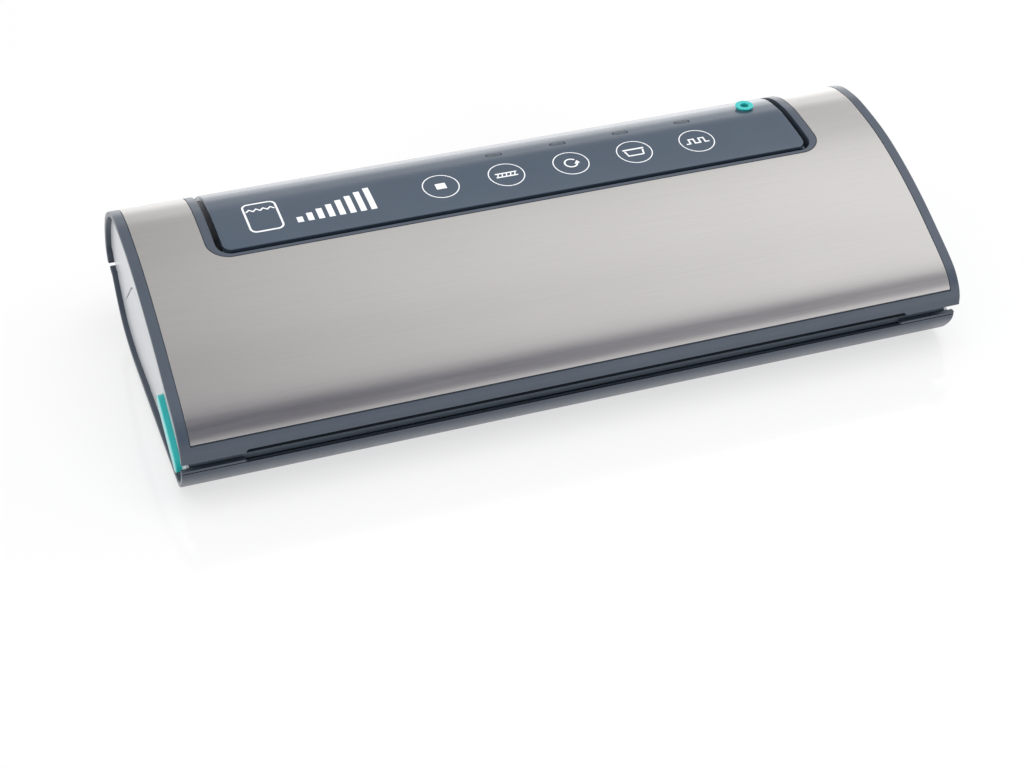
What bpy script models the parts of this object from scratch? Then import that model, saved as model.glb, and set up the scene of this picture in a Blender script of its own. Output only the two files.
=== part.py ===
"""Countertop vacuum sealer with a hinged stainless lid, side release buttons and a touch panel.

Run with: blender --background --python part.py

Frame: metres, +Z up, +X to the user's right, -Y towards the user. The origin is on the
table, under the middle of the machine. The section of the housing is drawn in the Y-Z
plane and runs along X, so most parts are prisms of that section, cut where they need it.
"""
import math

import bmesh
import bpy
from mathutils import Vector

# ---------------------------------------------------------------- driving dimensions (m)
WIDTH = 0.390                 # over the end lips
HALF = WIDTH / 2
GAP = 0.0003                  # between neighbouring parts
WALL = 0.0022                 # moulded shell
STRIP = 0.0050                # plastic edge left outside the steel cover
RECESS = 0.0026               # end panels sit this deep behind the end lip
PANEL = 0.0018                # thickness of an end panel
LID_SHELL = 0.0026            # moulding of the lid
STEEL = 0.0006
STEEL_SEAT = STEEL + GAP
HINGE = (0.0748, 0.0370)      # y, z of the lid's axis
CHEEK_RADIUS = 0.0066         # lid cheek round the hinge pin
PIN_RADIUS = 0.0020
PIN_HOLE = PIN_RADIUS + GAP
STEP = 3                      # points between two points of a smooth outline
DECK_TOP = 0.0215
DECK = 0.0020
FLOOR = 0.0026                # underside of the base above the table
SKIRT_END_Z = 0.0262          # lower edge of the lid beside the bag slot
SLOT_TOP_Z = 0.0279           # lower edge of the lid over the bag slot
SLOT_HALF = 0.1655
STEEL_FRONT_Z = 0.0342
STEEL_FRONT_GAP = 0.0007
STEEL_REAR_Z = 0.0400
NOTCH_STEEL = (0.1580, -0.0020, 0.0110)     # half width, front y, corner radius
NOTCH_OPEN = (0.1537, -0.0002, 0.0075)
FASCIA = (0.1506, 0.0021, 0.0050)
FASCIA_WALL = 0.0024
FASCIA_REAR_Y = 0.0660
TROUGH = (0.160, -0.050, -0.014, 0.0120)    # half width, front y, rear y, floor z
BUTTON_LINE = ((-0.0395, 0.0268), (-0.0655, 0.0122))
BUTTON_RADIUS = 0.0048
BUTTON_PROUD = 0.0003
LATCH_Y = -0.0600
HOOK_X = 0.1750
TOUCH_KEYS = [-0.0381 + 0.0340 * k for k in range(5)]
TOUCH_Y = 0.0206
LED_Y = 0.0401
LED_SIZE = (0.0080, 0.0030)
PORT = (0.1348, 0.0440)
PORT_LIP = 0.0048             # radius of the hose port's lip
PORT_BORE = 0.0022
RIM_STEP_Z = 0.0184           # front rim of the base under the bag slot
APRON = (0.1675, 0.0165)      # front edge of the deck: half width, lower edge
COVER_RADIUS = 0.0096         # base's cover under the hinge, outside
COVER_FROM_X = 0.1512
FEET = [(x, y) for y in (-0.0550, 0.0260) for x in (-0.1650, 0.1650)]
SCREWS = [(-0.1200, -0.0640), (0.1200, -0.0640), (-0.1500, -0.0020), (0.1500, -0.0020)]
NOZZLE_X = 0.0940
NOZZLE_Z = 0.0162
PUMP_AXIS = (0.0270, 0.0320)
INLET = (-0.1320, -0.1080, 0.0340, 0.0455)       # x from, x to, z from, z to

# Section of the lid: front lower corner, over the top, round the back. (y, z)
LID_CURVE = [(-0.0875, SKIRT_END_Z), (-0.0868, 0.0320), (-0.0832, 0.0382), (-0.0760, 0.0444),
             (-0.0583, 0.0537), (-0.0399, 0.0625), (-0.0189, 0.0706), (0.0026, 0.0766),
             (0.0246, 0.0797), (0.0380, 0.0800), (0.0530, 0.0773), (0.0692, 0.0677),
             (0.0800, 0.0552), (0.0862, 0.0425), (0.0875, 0.0355), (0.0861, 0.0294)]
# Section of the base: rear rim, down, along the floor, up the front. (y, z)
BASE_CURVE = [(0.0762, 0.0286), (0.0743, 0.0258), (0.0690, 0.0180), (0.0609, 0.0100),
              (0.0500, 0.0052), (0.0350, 0.0028), (0.0200, FLOOR), (-0.0500, FLOOR),
              (-0.0680, FLOOR), (-0.0745, 0.0045), (-0.0800, 0.0100), (-0.0834, 0.0155),
              (-0.0840, 0.0199)]
# Lower edge of the lid's end, from the foot of the hinge cheek to the front. (y, z)
SEAM_KNEE = (0.0521, 0.0284)
SEAM = [(0.0273, 0.0500), (0.0210, 0.0522), (0.0100, 0.0524), (-0.0020, 0.0500),
        (-0.0140, 0.0455), (-0.0260, 0.0408), (-0.0380, 0.0360), (-0.0500, 0.0310),
        (-0.0600, 0.0276), (-0.0680, SKIRT_END_Z)]
SEAM_GAP = 0.0007

SLATE = (0.085, 0.105, 0.130, 1)
DARK_SLATE = (0.050, 0.060, 0.072, 1)
SILVER_GREY = (0.62, 0.63, 0.64, 1)
STEEL_COLOUR = (0.56, 0.55, 0.53, 1)
TEAL = (0.02, 0.44, 0.43, 1)
RUBBER = (0.03, 0.03, 0.032, 1)
SILICONE = (0.10, 0.10, 0.11, 1)
BRASS = (0.60, 0.45, 0.20, 1)
BOARD_GREEN = (0.02, 0.16, 0.07, 1)
AMBER = (0.45, 0.28, 0.10, 1)


# ---------------------------------------------------------------- outlines
def smooth(points, steps=STEP):
    """Catmull-Rom curve through the points, with its ends on the first and last point."""
    vectors = [Vector(p) for p in points]
    vectors = [2 * vectors[0] - vectors[1], *vectors, 2 * vectors[-1] - vectors[-2]]
    result = []
    for a, b, c, d in zip(vectors, vectors[1:], vectors[2:], vectors[3:]):
        for step in range(steps):
            t = step / steps
            point = 2 * b + (c - a) * t + (2 * a - 5 * b + 4 * c - d) * t ** 2
            result.append((point + (3 * b - 3 * c + d - a) * t ** 3) / 2)
    result.append(vectors[-2])
    return [tuple(p) for p in result]


def offset(path, distance):
    """The open path moved sideways, to the right of its direction."""
    points = [Vector(p) for p in path]
    result = []
    for index, point in enumerate(points):
        before = (point - points[index - 1]).normalized() if index else None
        after = (points[index + 1] - point).normalized() if index + 1 < len(points) else None
        along = (before or after) + (after or before)
        along.normalize()
        stretch = 1 / max(along.dot(after or before), 0.5)
        result.append(tuple(point + Vector((along.y, -along.x)) * distance * stretch))
    return result


def band(path, outer, inner):
    """Closed outline between two offsets of one path."""
    return offset(path, outer) + offset(path, inner)[::-1]


def arc(centre, radius, start, end, steps=8):
    """Points on a circle from one angle to another, in degrees."""
    angles = [math.radians(start + (end - start) * k / steps) for k in range(steps + 1)]
    return [(centre[0] + radius * math.cos(a), centre[1] + radius * math.sin(a)) for a in angles]


def rectangle(low, high, radius=0.0, steps=4):
    """Rectangle between two corners, its corners rounded when a radius is given."""
    if not radius:
        return [(low[0], low[1]), (high[0], low[1]), (high[0], high[1]), (low[0], high[1])]
    left, right = low[0] + radius, high[0] - radius
    front, back = low[1] + radius, high[1] - radius
    corners = [(right, back, 0), (left, back, 90), (left, front, 180), (right, front, 270)]
    return [p for x, y, a in corners for p in arc((x, y), radius, a, a + 90, steps)]


def stadium(start, end, radius, steps=8):
    """Outline of a bar with round ends between two centres."""
    heading = math.degrees(math.atan2(end[1] - start[1], end[0] - start[0]))
    return arc(end, radius, heading - 90, heading + 90, steps) + \
        arc(start, radius, heading + 90, heading + 270, steps)


LID_PATH = smooth(LID_CURVE)
BASE_PATH = smooth(BASE_CURVE)
SEAM_PATH = smooth(SEAM, 2)


# ---------------------------------------------------------------- scene helpers
def clear_scene():
    for thing in list(bpy.data.objects):
        bpy.data.objects.remove(thing, do_unlink=True)


def new_collection(name):
    collection = bpy.data.collections.new(name)
    bpy.context.scene.collection.children.link(collection)
    return collection


clear_scene()
PARTS = new_collection("vacuum_sealer")


def material(name, colour, roughness, metallic=0.0):
    made = bpy.data.materials.new(name)
    made.use_nodes = True
    shader = made.node_tree.nodes["Principled BSDF"]
    shader.inputs["Base Color"].default_value = colour
    shader.inputs["Roughness"].default_value = roughness
    shader.inputs["Metallic"].default_value = metallic
    return made


def place(thing, finish, parent=None):
    """Put an object in the model's collection, with its material and parent."""
    for collection in list(thing.users_collection):
        collection.objects.unlink(thing)
    PARTS.objects.link(thing)
    if finish:
        thing.data.materials.clear()
        thing.data.materials.append(material(thing.name, *finish))
    if parent:
        thing.parent = parent
        thing.matrix_parent_inverse = parent.matrix_world.inverted()
    return thing


def pivot(name, location):
    """Empty on a joint's axis, which carries the pieces that move together."""
    empty = bpy.data.objects.new(name, None)
    empty.location = location
    empty.empty_display_size = 0.02
    PARTS.objects.link(empty)
    bpy.context.view_layer.update()
    return empty


def mesh_from_curve(curve_object, name):
    """Closed mesh object in the place of a curve object."""
    bpy.context.scene.collection.objects.link(curve_object)
    graph = bpy.context.evaluated_depsgraph_get()
    mesh = bpy.data.meshes.new_from_object(curve_object.evaluated_get(graph))
    body = bmesh.new()
    body.from_mesh(mesh)
    bmesh.ops.remove_doubles(body, verts=body.verts, dist=0.000001)
    bmesh.ops.recalc_face_normals(body, faces=body.faces)
    body.to_mesh(mesh)
    body.free()
    result = bpy.data.objects.new(name, mesh)
    result.matrix_world = curve_object.matrix_world
    bpy.data.objects.remove(curve_object, do_unlink=True)
    result.name = name
    bpy.context.scene.collection.objects.link(result)
    return result


AXES = {"X": (math.pi / 2, 0, math.pi / 2), "Y": (math.pi / 2, 0, math.pi), "Z": (0, 0, 0)}


def prism(name, outline, low, high, axis="X", holes=()):
    """A flat outline with a thickness: (y, z) along X, (-x, z) along Y or (x, y) along Z."""
    curve = bpy.data.curves.new(name, "CURVE")
    curve.dimensions = "2D"
    curve.fill_mode = "BOTH"
    curve.extrude = (high - low) / 2
    for loop in (outline, *holes):
        spline = curve.splines.new("POLY")
        spline.points.add(len(loop) - 1)
        for point, (a, b) in zip(spline.points, loop):
            point.co = (a, b, 0, 1)
        spline.use_cyclic_u = True
    shape = bpy.data.objects.new(name, curve)
    shape.rotation_euler = AXES[axis]
    middle = (high + low) / 2
    shape.location = {"X": (middle, 0, 0), "Y": (0, middle, 0), "Z": (0, 0, middle)}[axis]
    bpy.context.view_layer.update()
    return mesh_from_curve(shape, name)


def box(name, low, high, bevel=0.0):
    """Block between two corners."""
    centre = [(a + b) / 2 for a, b in zip(low, high)]
    bpy.ops.mesh.primitive_cube_add(size=1, location=centre)
    block = bpy.context.object
    block.name = name
    block.dimensions = [b - a for a, b in zip(low, high)]
    bpy.ops.object.transform_apply(location=False, rotation=False, scale=True)
    if bevel:
        rounding = block.modifiers.new("edges", "BEVEL")
        rounding.width = bevel
        rounding.segments = 2
    return block


def cylinder(name, centre, radius, length, axis="Z", sides=24):
    """Round bar about a centre."""
    turn = {"X": (0, math.pi / 2, 0), "Y": (math.pi / 2, 0, 0), "Z": (0, 0, 0)}[axis]
    bpy.ops.mesh.primitive_cylinder_add(vertices=sides, radius=radius, depth=length,
                                        location=centre, rotation=turn)
    bar = bpy.context.object
    bar.name = name
    return bar


def turned(name, profile, location, sides=24):
    """Shape turned about a vertical axis; the (radius, z) profile runs top to bottom."""
    mesh = bpy.data.meshes.new(name)
    points = [(r, 0, z) for r, z in profile]
    closed = profile[0][0] > 0
    edges = [(k, k + 1) for k in range(len(points) - 1)]
    if closed:
        edges.append((len(points) - 1, 0))
    mesh.from_pydata(points, edges, [])
    shape = bpy.data.objects.new(name, mesh)
    shape.location = location
    bpy.context.scene.collection.objects.link(shape)
    screw = shape.modifiers.new("turn", "SCREW")
    screw.steps = sides
    screw.render_steps = sides
    screw.use_merge_vertices = True
    screw.merge_threshold = 0.00001
    return shape


def tube(name, points, radius, sides=2):
    """Round rod or hose along points, with closed ends."""
    curve = bpy.data.curves.new(name, "CURVE")
    curve.dimensions = "3D"
    curve.bevel_depth = radius
    curve.bevel_resolution = sides
    curve.use_fill_caps = True
    spline = curve.splines.new("POLY")
    spline.points.add(len(points) - 1)
    for point, place_at in zip(spline.points, points):
        point.co = (*place_at, 1)
    return mesh_from_curve(bpy.data.objects.new(name, curve), name)


def combine(target, tool, operation):
    """Boolean between two objects, applied at once; the tool is used up."""
    for thing in (target, tool):
        if thing.modifiers:
            apply_modifiers(thing)
    change = target.modifiers.new(operation.lower(), "BOOLEAN")
    change.operation = operation
    change.solver = "EXACT"
    change.object = tool
    apply_modifiers(target)
    bpy.data.objects.remove(tool, do_unlink=True)
    return target


def apply_modifiers(thing):
    bpy.context.view_layer.update()
    graph = bpy.context.evaluated_depsgraph_get()
    mesh = bpy.data.meshes.new_from_object(thing.evaluated_get(graph))
    thing.modifiers.clear()
    thing.data = mesh


def add(target, *tools):
    for tool in tools:
        combine(target, tool, "UNION")
    return target


def cut(target, *tools):
    for tool in tools:
        combine(target, tool, "DIFFERENCE")
    return target


def smooth_shade(thing, angle=35):
    if thing.modifiers:
        apply_modifiers(thing)
    thing.data.shade_smooth()
    thing.data.set_sharp_from_angle(angle=math.radians(angle))
    return thing


def sides_of(low, high, side):
    """An interval measured outwards from the middle, on the left (-1) or right (+1) side."""
    return (low, high) if side > 0 else (-high, -low)


SIDES = (("left", -1), ("right", 1))


# ---------------------------------------------------------------- outlines shared by parts
def cross(path, z, rising):
    """Point where the path passes height z, on its rising or its falling stretch."""
    for (y0, z0), (y1, z1) in zip(path, path[1:]):
        if (z0 <= z < z1) if rising else (z0 > z >= z1):
            part = (z - z0) / (z1 - z0)
            return (y0 + (y1 - y0) * part, z)
    raise ValueError("the path does not pass this height")


def lid_run(front_z, rear_z):
    """The lid's section from one height at the front to another at the back."""
    start = cross(LID_PATH, front_z, True)
    end = cross(LID_PATH, rear_z, False)
    middle = [p for p in LID_PATH if (p[0] < 0 and p[1] > front_z) or (p[0] >= 0 and p[1] > rear_z)]
    return [start, *middle, end]


def lid_between(front_y, rear_y):
    """The lid's section between two places on its top."""
    top = [p for p in LID_PATH if p[1] > 0.05]
    ends = []
    for y in (front_y, rear_y):
        for (y0, z0), (y1, z1) in zip(top, top[1:]):
            if y0 <= y < y1:
                ends.append((y, z0 + (z1 - z0) * (y - y0) / (y1 - y0)))
    return [ends[0], *[p for p in top if front_y < p[0] < rear_y], ends[1]]


CHEEK_TOP_Z = 0.0400
CHEEK_FOOT = arc(HINGE, CHEEK_RADIUS, 0, -115)
SEAM_REAR = (0.0700, 0.0300)


def lid_end_outline(inset):
    """The lid's end, inside its lip and above the seam."""
    top = offset(lid_run(SKIRT_END_Z + GAP, CHEEK_TOP_Z), inset)
    return top + CHEEK_FOOT + [SEAM_KNEE] + SEAM_PATH


def base_end_outline(inset):
    """The base's end, inside its lip and below the seam."""
    seam = offset([SEAM_REAR, SEAM_KNEE] + SEAM_PATH, -SEAM_GAP)
    return offset(BASE_PATH, inset) + seam[::-1]


def notch_outline(half_width, front, radius):
    return rectangle((-half_width, front), (half_width, 0.120), radius)


def button_outline(extra=0.0):
    return stadium(*BUTTON_LINE, BUTTON_RADIUS + extra)


def ring_outline(half_width, front, rear, radius):
    return rectangle((-half_width, front), (half_width, rear), radius)


# ---------------------------------------------------------------- lid
def build_lid_frame(lid):
    frame = prism("lid_frame", band(LID_PATH, 0, LID_SHELL), -HALF, HALF)
    seat = prism("seat", band(lid_run(STEEL_FRONT_Z, STEEL_REAR_Z), -0.002, STEEL_SEAT),
                 -HALF + STRIP, HALF - STRIP)
    cut(seat, prism("rim", notch_outline(*NOTCH_STEEL), 0.0, 0.1, "Z"))
    cut(frame, seat, prism("opening", notch_outline(*NOTCH_OPEN), 0.0, 0.1, "Z"))
    cut(frame, box("slot", (-SLOT_HALF, -0.1, 0.02), (SLOT_HALF, -0.08, SLOT_TOP_Z)))
    lower = [(0.0600, 0.0330), (0.0360, 0.0640), (0.0010, 0.0660)]
    cheek = offset(lid_between(0.0010, 0.0700), 0.0018) + \
        offset(lid_run(0.06, CHEEK_TOP_Z), 0.0018)[-4:] + CHEEK_FOOT + lower
    for _, side in SIDES:
        wall = prism("end_wall", lid_end_outline(0.0018), *sides_of(0.1882, 0.1902, side))
        inner = prism("cheek", cheek, *sides_of(NOTCH_OPEN[0], NOTCH_OPEN[0] + 0.0018, side))
        hole = cylinder("pin_hole", (side * 0.17, *HINGE), PIN_HOLE, 0.05, "X")
        add(frame, wall, inner)
        cut(frame, hole)
    place(smooth_shade(frame), (SLATE, 0.45), lid)


def build_lid_cover(lid):
    path = lid_run(STEEL_FRONT_Z + STEEL_FRONT_GAP, STEEL_REAR_Z + GAP)
    edge = HALF - STRIP - GAP
    cover = prism("lid_cover", band(path, 0, STEEL), -edge, edge)
    half_width, front, radius = NOTCH_STEEL
    clear = notch_outline(half_width + GAP, front - GAP, radius + GAP)
    cut(cover, prism("notch", clear, 0.0, 0.1, "Z"))
    place(smooth_shade(cover), (STEEL_COLOUR, 0.3, 1.0), lid)


def build_lid_end_panels(lid):
    for word, side in SIDES:
        outline = lid_end_outline(LID_SHELL + GAP)
        panel = prism(f"lid_end_panel_{word}", outline,
                      *sides_of(HALF - RECESS - PANEL, HALF - RECESS, side))
        place(smooth_shade(panel), (SILVER_GREY, 0.4), lid)


def build_lid_liner(lid):
    """Inner moulding of the lid: its underside and its rear wall."""
    outline = [(-0.0842, 0.0280), (-0.0085, 0.0280), (-0.0098, 0.0400), (-0.0080, 0.0580),
               (-0.0048, 0.0695), (-0.0068, 0.0695), (-0.0100, 0.0580), (-0.0118, 0.0400),
               (-0.0106, 0.0300), (-0.0842, 0.0300)]
    liner = prism("lid_liner", outline, -0.1822, 0.1822)
    for _, side in SIDES:
        low, high = sides_of(HOOK_X - 0.0019, HOOK_X + 0.0019, side)
        cut(liner, box("hook_hole", (low, LATCH_Y - 0.0024, 0.02), (high, LATCH_Y + 0.0024, 0.04)))
    place(liner, (DARK_SLATE, 0.5), lid)


def build_lid_hooks(lid):
    """Catches that hang from the lid; the barb points to the middle of the machine."""
    for word, side in SIDES:
        def span(low, high, offset_y, bottom, top, label):
            x0, x1 = sides_of(HOOK_X + low, HOOK_X + high, side)
            return box(label, (x0, LATCH_Y - offset_y, bottom), (x1, LATCH_Y + offset_y, top))
        hook = span(-0.0015, 0.0015, 0.0020, 0.0100, 0.0315, f"lid_hook_{word}")
        add(hook, span(-0.0070, 0.0070, 0.0050, 0.0303, 0.0323, "flange"),
            span(-0.0035, -0.0010, 0.0020, 0.0100, 0.0137, "barb"))
        place(hook, (DARK_SLATE, 0.4), lid)


def build_seals(lid):
    outer = ring_outline(0.1660, -0.0560, -0.0080, 0.0100)
    inner = ring_outline(0.1620, -0.0520, -0.0120, 0.0070)
    for name, low, high, parent in (("lower_gasket", DECK_TOP + GAP, 0.0250, None),
                                    ("upper_gasket", 0.0253, 0.0277, lid)):
        place(prism(name, outer, low, high, "Z", [inner]), (SILICONE, 0.7), parent)
    bar = box("press_bar", (-0.163, -0.0690, 0.0248), (0.163, -0.0630, 0.0277), 0.0006)
    place(bar, (SILICONE, 0.6), lid)


def build_lid_magnet(lid):
    magnet = box("lid_magnet", (-0.004, -0.0170, 0.0460), (0.004, -0.0135, 0.0540), 0.0004)
    place(magnet, (DARK_SLATE, 0.3, 1.0), lid)


# ---------------------------------------------------------------- base
def build_base_tray():
    tray = prism("base_tray", band(BASE_PATH, 0, WALL), -HALF, HALF)
    above = 0.0190
    for _, side in SIDES:
        wall = prism("end_wall", base_end_outline(0.0016), *sides_of(0.1883, 0.1903, side))
        cut(wall, box("above", (-0.2, -0.1, above), (0.2, 0.1, 0.1)))
        add(tray, wall)
        cut(tray, prism("button_hole", button_outline(0.0004), *sides_of(0.18, 0.1913, side)))
        cover = arc(HINGE, COVER_RADIUS, -95, -52, 8) + \
            arc(HINGE, COVER_RADIUS - WALL, -52, -95, 8)
        add(tray, prism("hinge_cover", cover, *sides_of(COVER_FROM_X, HALF, side)))
    cut(tray, box("rim_step", (-SLOT_HALF, -0.09, RIM_STEP_Z), (SLOT_HALF, -0.08, 0.03)))
    for x, y in FEET:
        cut(tray, cylinder("foot_hole", (x, y, FLOOR), 0.0025, 0.02, sides=12))
    for x, y in SCREWS:
        cut(tray, cylinder("screw_hole", (x, y, FLOOR), 0.0018, 0.02, sides=12))
    place(smooth_shade(tray), (SLATE, 0.5))


def build_base_deck():
    """Working deck: vacuum trough, end fins, hinge lugs, latch slots and screw bosses."""
    floor = DECK_TOP - DECK
    outline = rectangle((-0.1903, -0.0812), (0.1903, 0.0664))
    deck = prism("base_deck", outline, floor, DECK_TOP, "Z")
    half_width, front, rear, bottom = TROUGH
    trough = box("trough", (-half_width - 0.0022, front - 0.0022, bottom - 0.002),
                 (half_width + 0.0022, rear + 0.0022, floor + 0.0005))
    half_apron, apron_low = APRON
    apron = box("apron", (-half_apron, -0.0812, apron_low), (half_apron, -0.0796, floor + 0.0005))
    add(deck, trough, apron)
    cut(deck, prism("cavity", ring_outline(half_width, front, rear, 0.008), bottom, 0.03, "Z"),
        box("housing_opening", (-0.148, 0.0058, 0.01), (0.148, 0.08, 0.03)),
        cylinder("nozzle_hole", (NOZZLE_X, rear, NOZZLE_Z), 0.0033, 0.012, "Y", 16))
    lug = [(0.0580, 0.0210), (0.0672, 0.0210), (0.0705, 0.0265), (0.0728, 0.0322)] + \
        arc(HINGE, 0.0050, -75, 180, 10)
    for _, side in SIDES:
        fin = prism("fin", base_end_outline(WALL + 0.0008), *sides_of(0.1883, 0.1903, side))
        cut(fin, box("below", (-0.2, -0.1, 0.0), (0.2, 0.1, floor + 0.0005)))
        post = prism("lug", lug, *sides_of(0.1720, 0.1780, side))
        x0, x1 = sides_of(0.1480, 0.1517, side)
        stop = box("stop", (x0, LATCH_Y - 0.004, 0.0110), (x1, LATCH_Y + 0.004, floor + 0.0005))
        add(deck, fin, post, stop)
        x0, x1 = sides_of(0.1705, 0.1775, side)
        slot = box("hook_slot", (x0, LATCH_Y - 0.0055, 0.01), (x1, LATCH_Y + 0.0055, 0.03))
        cut(deck, slot, cylinder("pin_hole", (side * 0.175, *HINGE), PIN_HOLE, 0.02, "X"),
            prism("button_hole", button_outline(0.0004), *sides_of(0.1822, 0.2, side)))
    for x, y in SCREWS:
        add(deck, cylinder("boss", (x, y, 0.0126), 0.0035, 0.0150, sides=16))
        cut(deck, cylinder("boss_hole", (x, y, 0.0080), 0.0017, 0.0140, sides=12))
    place(smooth_shade(deck), (DARK_SLATE, 0.5))


def build_end_panels():
    for word, side in SIDES:
        panel = prism(f"end_panel_{word}", base_end_outline(WALL + GAP),
                      *sides_of(HALF - RECESS - PANEL, HALF - RECESS, side))
        cut(panel, prism("hole", button_outline(0.0004), *sides_of(0.18, 0.2, side)))
        place(smooth_shade(panel), (SILVER_GREY, 0.4))


def build_rear_housing():
    """Fixed housing behind the deck; the control panel closes its top."""
    half_width = FASCIA[0]
    under_fascia = offset(lid_between(0.0030, FASCIA_REAR_Y), FASCIA_WALL + GAP)
    rear = [p for p in LID_PATH if p[0] > FASCIA_REAR_Y and p[1] > 0.034]
    side_outline = [(0.0030, 0.0218), *under_fascia, *offset(rear, 0.0010),
                    (0.0845, 0.0335), (0.0660, 0.0335), (0.0660, 0.0218)]
    start = lid_between(0.0030, FASCIA_REAR_Y + GAP)[-1]
    skin_path = [start] + [p for p in LID_PATH if p[0] > FASCIA_REAR_Y + 0.001]
    skin = prism("rear_housing", band(skin_path, 0, WALL), -half_width, half_width)
    front = [(0.0030, 0.0218), (0.0052, 0.0218), (0.0052, 0.0738), (0.0030, 0.0736)]
    shelf = rectangle((0.0700, 0.0302), (0.0845, 0.0324))
    add(skin, prism("shelf", shelf, -half_width, half_width))
    for _, side in SIDES:
        add(skin, prism("side", side_outline, *sides_of(half_width - WALL, half_width, side)))
    add(skin, prism("front", front, -half_width, half_width))
    x0, x1, z0, z1 = INLET
    cut(skin, box("inlet_hole", (x0 - GAP, 0.06, z0 - GAP), (x1 + GAP, 0.1, z1 + GAP)))
    place(smooth_shade(skin), (SLATE, 0.5))


def build_control_panel():
    half_width, front, radius = FASCIA
    panel = prism("control_panel", band(lid_between(front, FASCIA_REAR_Y), 0, FASCIA_WALL),
                  -half_width, half_width)
    corners = prism("corners", notch_outline(half_width, front, radius), 0.0, 0.1, "Z")
    combine(panel, corners, "INTERSECT")
    for k in range(1, 5):
        cut(panel, led_prism("hole", k, GAP, 0.07, 0.09))
    cut(panel, cylinder("port_hole", (*PORT, 0.078), 0.0044, 0.02))
    place(smooth_shade(panel), (SLATE, 0.4))


def led_prism(name, key, extra, low, high):
    """Slot-shaped bar behind one touch key."""
    length, width = LED_SIZE
    reach = (length - width) / 2
    x = TOUCH_KEYS[key]
    outline = stadium((x - reach, LED_Y), (x + reach, LED_Y), width / 2 + extra, 6)
    return prism(name, outline, low, high, "Z")


def build_led_windows():
    for k in range(1, 5):
        place(led_prism(f"led_window_{k}", k, 0, 0.0740, 0.0799), (SILVER_GREY, 0.2))


def build_hose_port():
    """Ring with a lip on the control panel, and a stub below for the hose."""
    lip, bore, neck, stub = PORT_LIP, PORT_BORE, 0.0041, 0.0034
    profile = [(lip - 0.0003, 0.0812), (lip, 0.0810), (lip, 0.0804), (neck, 0.0804), (neck, 0.0750),
               (0.0060, 0.0750), (0.0060, 0.0736), (stub, 0.0731), (stub, 0.0660), (bore, 0.0660),
               (bore, 0.0812)]
    port = turned("hose_port", profile, (*PORT, 0))
    place(smooth_shade(port), (TEAL, 0.3))


def build_sealer():
    bar = box("sealing_bar", (-0.165, -0.0710, DECK_TOP + GAP), (0.165, -0.0610, 0.0234))
    place(bar, (DARK_SLATE, 0.6))
    place(box("heating_strip", (-0.163, -0.0680, 0.0237), (0.163, -0.0640, 0.0240)),
          (STEEL_COLOUR, 0.3, 1.0))
    place(box("sealing_tape", (-0.165, -0.0705, 0.0243), (0.165, -0.0615, 0.0245)), (AMBER, 0.6))


def build_feet_and_screws():
    foot = [(0, 0.0070), (0.0022, 0.0070), (0.0022, 0.0023), (0.0078, 0.0023),
            (0.0082, 0.0018), (0.0080, 0.0), (0, 0.0)]
    for name, (x, y) in zip(("front_left", "front_right", "rear_left", "rear_right"), FEET):
        place(smooth_shade(turned(f"foot_{name}", foot, (x, y, 0), 20)), (RUBBER, 0.8))
    screw = [(0, 0.0120), (0.0013, 0.0110), (0.0013, 0.0023), (0.0028, 0.0023),
             (0.0028, 0.0012), (0.0020, 0.0006), (0, 0.0006)]
    for k, (x, y) in enumerate(SCREWS, 1):
        place(smooth_shade(turned(f"base_screw_{k}", screw, (x, y, 0), 12)),
              (STEEL_COLOUR, 0.3, 1.0))


# ---------------------------------------------------------------- hinge and latches
def coil(centre, radius, low, high, turns, per_turn=10):
    """Points of a helix about an X-parallel axis, from one x to another."""
    count = turns * per_turn
    return [(low + (high - low) * k / count,
             centre[0] + radius * math.cos(2 * math.pi * k / per_turn),
             centre[1] + radius * math.sin(2 * math.pi * k / per_turn)) for k in range(count + 1)]


def build_hinge():
    for word, side in SIDES:
        low, high = sides_of(0.1515, 0.1899, side)
        pin = cylinder(f"hinge_pin_{word}", ((low + high) / 2, *HINGE), PIN_RADIUS, high - low,
                       "X", 20)
        place(smooth_shade(pin), (STEEL_COLOUR, 0.3, 1.0))
        low, high = sides_of(0.1580, 0.1700, side)
        spring = tube(f"lid_spring_{word}", coil(HINGE, 0.0035, low, high, 5), 0.0006, 1)
        place(smooth_shade(spring), (STEEL_COLOUR, 0.35, 1.0))


def build_releases():
    """Side buttons, each in one piece of motion with its latch slider."""
    for word, side in SIDES:
        centre_y = sum(p[0] for p in BUTTON_LINE) / 2
        centre_z = sum(p[1] for p in BUTTON_LINE) / 2
        slide = pivot(f"release_{word}", (side * HALF, centre_y, centre_z))
        button = prism(f"release_button_{word}", button_outline(),
                       *sides_of(0.1860, HALF + BUTTON_PROUD, side))
        place(smooth_shade(button), (TEAL, 0.3), slide)
        x0, x1 = sides_of(0.1640, 0.1857, side)
        slider = box(f"latch_slider_{word}", (x0, LATCH_Y - 0.007, 0.0145),
                     (x1, LATCH_Y + 0.007, 0.0175))
        x0, x1 = sides_of(HOOK_X - 0.0018, HOOK_X + 0.0060, side)
        cut(slider, box("window", (x0, LATCH_Y - 0.0042, 0.01), (x1, LATCH_Y + 0.0042, 0.02)))
        place(slider, (DARK_SLATE, 0.4), slide)
        low, high = sides_of(0.1526, 0.1629, side)
        spring = tube(f"button_spring_{word}", coil((LATCH_Y, 0.0155), 0.0026, low, high, 5),
                      0.0005, 1)
        place(smooth_shade(spring), (STEEL_COLOUR, 0.35, 1.0))


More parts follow.
